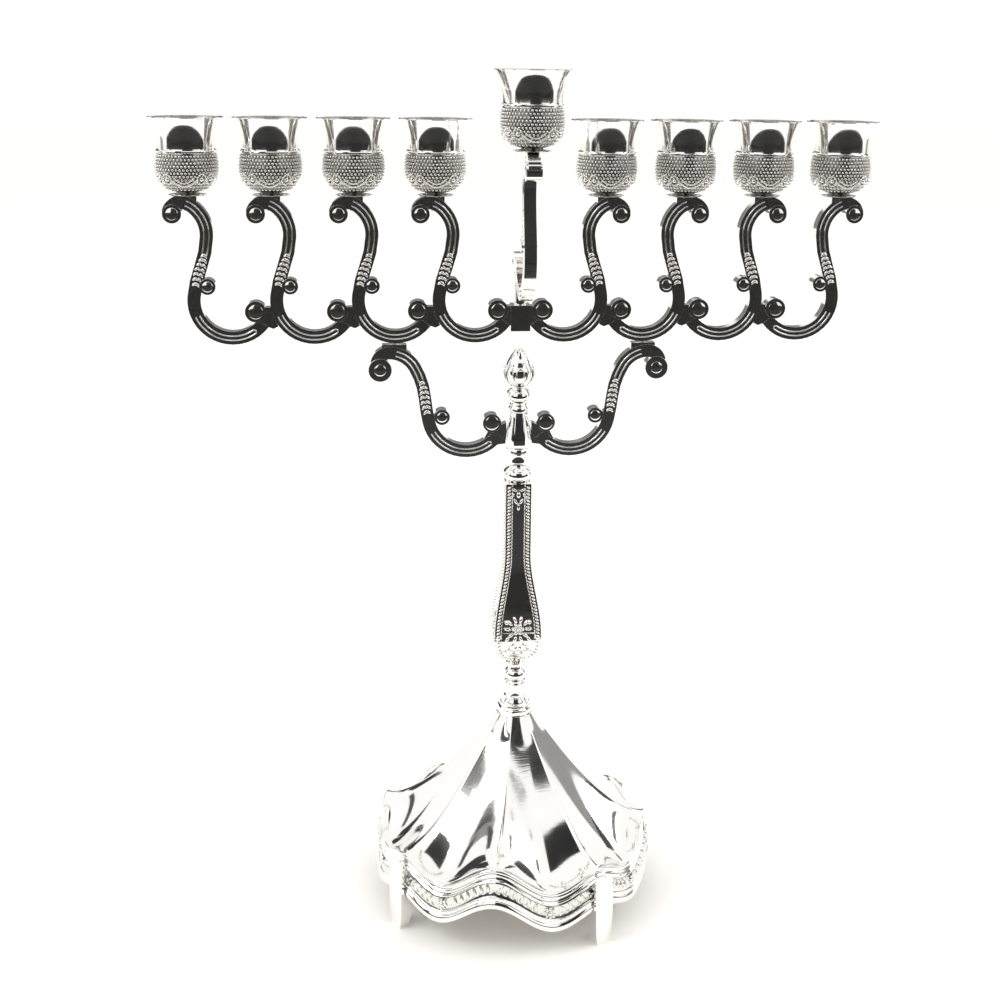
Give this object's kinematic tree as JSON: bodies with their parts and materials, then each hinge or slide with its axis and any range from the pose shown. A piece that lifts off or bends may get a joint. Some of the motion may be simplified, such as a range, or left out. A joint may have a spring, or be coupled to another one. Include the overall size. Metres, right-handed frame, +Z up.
{
  "type": "menorah",
  "caption": "Footed holiday menorah: a rail of eight S-shaped arms with cup-shaped candle sockets and a raised servant light in front.",
  "frame": {"origin": "on the table, under the axis of the stem", "axes": "+Z up, +X to the viewer's right along the rail, -Y towards the viewer and the servant light"},
  "size_m": [0.2926, 0.12, 0.353],
  "materials": {
    "bright_silver": "bright polished silver plate",
    "antique_silver": "polished silver plate with darker recesses",
    "steel": "plain zinc-plated steel"
  },
  "bodies": {
    "stand": {"base": "bright_silver", "foot_1": "bright_silver", "foot_2": "bright_silver", "foot_3": "bright_silver", "foot_4": "bright_silver", "base_washer": "steel", "base_nut": "steel", "tie_rod": "steel", "dome_collar": "bright_silver", "lower_knop": "bright_silver", "stem": "bright_silver", "upper_knop": "bright_silver", "hub": "bright_silver", "finial": "bright_silver", "lower_arm_left": "antique_silver", "lower_arm_right": "antique_silver", "rail_screws": "steel", "centre_block": "antique_silver", "shamash_post": "antique_silver", "arm_left_1": "antique_silver", "arm_left_2": "antique_silver", "arm_left_3": "antique_silver", "arm_left_4": "antique_silver", "arm_right_1": "antique_silver", "arm_right_2": "antique_silver", "arm_right_3": "antique_silver", "arm_right_4": "antique_silver", "link_pins": "steel", "arm_studs": "steel"},
    "shamash_arm": {"shamash_arm": "antique_silver", "shamash_screw": "steel", "shamash_stud": "steel"},
    "cup_1": {"cup_1": "bright_silver"},
    "cup_2": {"cup_2": "bright_silver"},
    "cup_3": {"cup_3": "bright_silver"},
    "cup_4": {"cup_4": "bright_silver"},
    "cup_5": {"cup_5": "bright_silver"},
    "cup_6": {"cup_6": "bright_silver"},
    "cup_7": {"cup_7": "bright_silver"},
    "cup_8": {"cup_8": "bright_silver"},
    "shamash_cup": {"shamash_cup": "bright_silver"}
  },
  "joints": [
    {"name": "cup_1_turn", "type": "hinge", "parent": "stand", "child": "cup_1", "pos_m": [-0.1317, 0, 0.3024], "axis": [0, 0, 1], "continuous": true},
    {"name": "cup_2_turn", "type": "hinge", "parent": "stand", "child": "cup_2", "pos_m": [-0.0993, 0, 0.3024], "axis": [0, 0, 1], "continuous": true},
    {"name": "cup_3_turn", "type": "hinge", "parent": "stand", "child": "cup_3", "pos_m": [-0.0669, 0, 0.3024], "axis": [0, 0, 1], "continuous": true},
    {"name": "cup_4_turn", "type": "hinge", "parent": "stand", "child": "cup_4", "pos_m": [-0.0345, 0, 0.3024], "axis": [0, 0, 1], "continuous": true},
    {"name": "cup_5_turn", "type": "hinge", "parent": "stand", "child": "cup_5", "pos_m": [0.0345, 0, 0.3024], "axis": [0, 0, 1], "continuous": true},
    {"name": "cup_6_turn", "type": "hinge", "parent": "stand", "child": "cup_6", "pos_m": [0.0669, 0, 0.3024], "axis": [0, 0, 1], "continuous": true},
    {"name": "cup_7_turn", "type": "hinge", "parent": "stand", "child": "cup_7", "pos_m": [0.0993, 0, 0.3024], "axis": [0, 0, 1], "continuous": true},
    {"name": "cup_8_turn", "type": "hinge", "parent": "stand", "child": "cup_8", "pos_m": [0.1317, 0, 0.3024], "axis": [0, 0, 1], "continuous": true},
    {"name": "shamash_swivel", "type": "hinge", "parent": "stand", "child": "shamash_arm", "pos_m": [0, 0, 0.2754], "axis": [0, 1, 0], "range_deg": [-8, 8]},
    {"name": "shamash_cup_turn", "type": "hinge", "parent": "shamash_arm", "child": "shamash_cup", "pos_m": [0, -0.0343, 0.3224], "axis": [0, 0, 1], "continuous": true}
  ]
}
